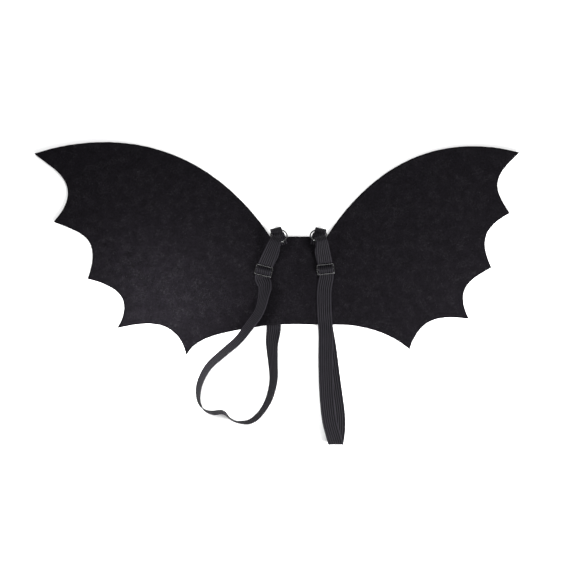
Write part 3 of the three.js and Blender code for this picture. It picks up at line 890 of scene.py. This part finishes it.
def stitch_tree():
    """Lays one arched stitch of thread at each point, along its heading and on its facing side."""
    tree, given = new_tree("thread_stitches", {
        "Stitch Length": "Float", "Thread Radius": "Float", "Material": "Material",
    })
    half = sums(tree, "MULTIPLY", given["Stitch Length"], 0.5)
    back = sums(tree, "MULTIPLY", half, -1.0)
    sunk = sums(tree, "MULTIPLY", given["Thread Radius"], stitch_sunk)
    arch = sums(tree, "MULTIPLY", given["Thread Radius"], stitch_arch)
    curve = put(tree, "GeometryNodeCurveQuadraticBezier", {
        "Resolution": 6,
        "Start": put(tree, "ShaderNodeCombineXYZ", {0: back, 2: sunk}).outputs[0],
        "Middle": put(tree, "ShaderNodeCombineXYZ", {2: arch}).outputs[0],
        "End": put(tree, "ShaderNodeCombineXYZ", {0: half, 2: sunk}).outputs[0],
    }).outputs[0]
    section = put(tree, "GeometryNodeCurvePrimitiveCircle", {
        "Resolution": 8, "Radius": given["Thread Radius"],
    }).outputs[0]
    thread = put(tree, "GeometryNodeCurveToMesh", {
        "Curve": curve, "Profile Curve": section, "Fill Caps": True,
    }).outputs[0]
    turned = put(tree, "FunctionNodeAxesToRotation", {
        "Primary Axis": stored(tree, "facing", "FLOAT_VECTOR"),
        "Secondary Axis": stored(tree, "heading", "FLOAT_VECTOR"),
    }, primary_axis="Z", secondary_axis="X").outputs[0]
    laid = put(tree, "GeometryNodeInstanceOnPoints", {
        "Points": put(tree, "GeometryNodeMeshToPoints", {"Mesh": given["Geometry"]}).outputs[0],
        "Instance": thread, "Rotation": turned,
    }).outputs[0]
    finish_tree(tree, laid, given["Material"])
    return tree


def thread_finish():
    """Twisted black thread, nearly matt."""
    finish, tree, shader = new_finish("black_thread", 0.6, 0.1)
    fibres = fibres_at(tree, object_place(tree), 900.0, 4000.0)
    tree.links.new(blend(tree, fibres["Share"], thread_dark, thread_light), shader.inputs["Base Color"])
    add_bump(tree, shader, fibres["Height"], 0.4, 0.0001)
    return finish


def seam(corners, facing):
    """Place, heading and facing of each stitch along straight rows between the corners."""
    stitches = []
    for start, end in zip(corners, corners[1:]):
        span = np.linalg.norm(end - start)
        count = max(1, round(span / stitch_pitch))
        for index in range(count):
            stitches.append((start + (end - start) * (index + 0.5) / count, (end - start) / span, facing))
    return stitches


def seam_corners(run, distance, rise):
    """Both ends of a seam across a band, at a distance along its run and raised by rise."""
    row = run[np.searchsorted(distances(run), distance)]
    reach = row[3:6] / np.linalg.norm(row[3:6]) * (row[6] / 2 - seam_inset)
    middle = row[:3] + np.array([0, 0, rise])
    return middle - reach, middle + reach


def add_seams(name, stitches):
    """The stitches as one piece."""
    places, headings, facings = zip(*stitches)
    mesh = mesh_of(name + "_places", places, [])
    store(mesh, "heading", headings)
    store(mesh, "facing", facings)
    threads = grown(new_object(name + "_places", mesh), name, thread_stitches, {
        "Stitch Length": stitch_pitch * stitch_share, "Thread Radius": thread_radius,
        "Material": black_thread,
    })
    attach(threads, "root")


thread_stitches = stitch_tree()
black_thread = thread_finish()
upwards, downwards = np.array([0.0, 0.0, 1.0]), np.array([0.0, 0.0, -1.0])
for side in ("left", "right"):
    tab_run = band_runs[f"tab_{side}"]
    strap_end = band_runs[f"strap_{side}"][::-1]
    tab_stitches = []
    for distance in tab_seams:
        tab_stitches += seam(seam_corners(tab_run, distance, elastic_thickness / 2), upwards)
        tab_stitches += seam(seam_corners(tab_run[::-1], distance, -elastic_thickness / 2), downwards)
    near, far = (seam_corners(strap_end, distance, 0.0) for distance in box_seams)
    box = np.array([near[0], near[1], far[1], far[0], near[0]])
    felt_top, band_under = box.copy(), box.copy()
    felt_top[:, 2] = felt_thickness
    band_under[:, 2] -= elastic_thickness / 2
    add_seams(f"tab_seams_{side}", tab_stitches)
    add_seams(f"strap_seams_{side}", seam(felt_top, upwards) + seam(band_under, downwards))


# The rings and sliders: moulded black plastic with a hard gloss, slightly scuffed from handling.
# A ring holds each tab to its strap, and a three-bar slider sets the length of each arm loop.

plastic_dark = (0.0025, 0.0025, 0.0028, 1)
plastic_light = (0.006, 0.006, 0.0065, 1)
polished, scuffed = 0.12, 0.4
ring_steps = 96
wire_steps = 20
slider_bar = 0.0016
slider_rail = 0.0015
corner_round = 0.0013
bar_round = 0.00062
sharp_turn = 0.7


def gloss_finish():
    """Hard black plastic with faint scuffs."""
    finish, tree, shader = new_finish("gloss_black", 0.25, 0.65)
    place = object_place(tree)
    cloud = noise(tree, place, 160.0, 4.0)
    scuffs = noise(tree, place, 1400.0, 6.0, Roughness=0.75, Distortion=2.0)
    tree.links.new(blend(tree, cloud, plastic_dark, plastic_light), shader.inputs["Base Color"])
    worn = sums(tree, "MULTIPLY_ADD", cloud, 0.3, sums(tree, "MULTIPLY", scuffs, 0.2))
    roughness = put(tree, "ShaderNodeMapRange", {0: worn, 3: polished, 4: scuffed}).outputs[0]
    tree.links.new(roughness, shader.inputs["Roughness"])
    add_bump(tree, shader, scuffs, 0.12, 0.0001)
    return finish


gloss_black = gloss_finish()


def node_axes(node):
    """A flat node's middle, its three axes from the longest to the shortest, and its half sizes."""
    solid = merged_copy(node)
    points = np.array([vert.co for vert in solid.verts])
    solid.free()
    axes = np.linalg.svd(points - points.mean(axis=0))[2]
    low, high = (points @ axes.T).min(axis=0), (points @ axes.T).max(axis=0)
    middle = ((low + high) / 2) @ axes
    if np.dot(np.cross(axes[0], axes[1]), axes[2]) < 0:
        axes[2] = -axes[2]
    return middle, axes, (high - low) / 2


def ring_mesh(name, node):
    """A round ring of round wire."""
    middle, axes, half = node_axes(node)
    wire = half[2]
    radius = half[0] - wire
    points, faces = [], []
    for step in range(ring_steps):
        turn = 2 * math.pi * step / ring_steps
        out = axes[0] * math.cos(turn) + axes[1] * math.sin(turn)
        for side in range(wire_steps):
            round_wire = 2 * math.pi * side / wire_steps
            reach = radius + wire * math.cos(round_wire)
            points.append(middle + out * reach + axes[2] * wire * math.sin(round_wire))
    for step in range(ring_steps):
        here, ahead = step * wire_steps, (step + 1) % ring_steps * wire_steps
        for side in range(wire_steps):
            beside = (side + 1) % wire_steps
            faces.append((here + side, ahead + side, ahead + beside, here + beside))
    return mesh_of(name, points, faces)


def slider_mesh(name, node):
    """A flat frame with two windows, between two rails and three bars, with all its edges rounded."""
    middle, axes, half = node_axes(node)
    across = [-half[0], -half[0] + slider_rail, half[0] - slider_rail, half[0]]
    up = [-half[1], -half[1] + slider_bar, -slider_bar / 2, slider_bar / 2, half[1] - slider_bar, half[1]]
    shape = bmesh.new()
    grid = [[shape.verts.new((x, y, -half[2])) for x in across] for y in up]
    for row in range(len(up) - 1):
        for column in range(len(across) - 1):
            if not (column == 1 and row in (1, 3)):
                lower, upper = grid[row], grid[row + 1]
                shape.faces.new((lower[column], lower[column + 1], upper[column + 1], upper[column]))
    lifted = bmesh.ops.extrude_face_region(shape, geom=shape.faces[:])
    for item in lifted["geom"]:
        if isinstance(item, bmesh.types.BMVert):
            item.co.z += 2 * half[2]
    bmesh.ops.recalc_face_normals(shape, faces=shape.faces)
    corner = half[0] + half[1] - 1e-6
    upright = [
        edge for edge in shape.edges
        if all(abs(vert.co.x) + abs(vert.co.y) > corner for vert in edge.verts)
    ]
    bmesh.ops.bevel(shape, geom=upright, offset=corner_round, segments=6, profile=0.5, affect="EDGES")
    sharp = [edge for edge in shape.edges if edge.calc_face_angle() > sharp_turn]
    bmesh.ops.bevel(shape, geom=sharp, offset=bar_round, segments=4, profile=0.5, affect="EDGES")
    for vert in shape.verts:
        vert.co = Vector(middle + vert.co.x * axes[0] + vert.co.y * axes[1] + vert.co.z * axes[2])
    bmesh.ops.recalc_face_normals(shape, faces=shape.faces)
    mesh = bpy.data.meshes.new(name)
    shape.to_mesh(mesh)
    shape.free()
    mesh.polygons.foreach_set("use_smooth", [True] * len(mesh.polygons))
    return mesh


for side in ("left", "right"):
    ring = new_object(f"gloss_ring_{side}", ring_mesh(f"gloss_ring_{side}", f"ring_{side}"))
    slider = new_object(f"gloss_slider_{side}", slider_mesh(f"gloss_slider_{side}", f"slider_{side}"))
    slider.modifiers.new("even_faces", "WEIGHTED_NORMAL")
    for piece, node in ((ring, f"ring_{side}"), (slider, f"slider_{side}")):
        piece.data.materials.append(gloss_black)
        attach(piece, "root")
        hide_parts(node)
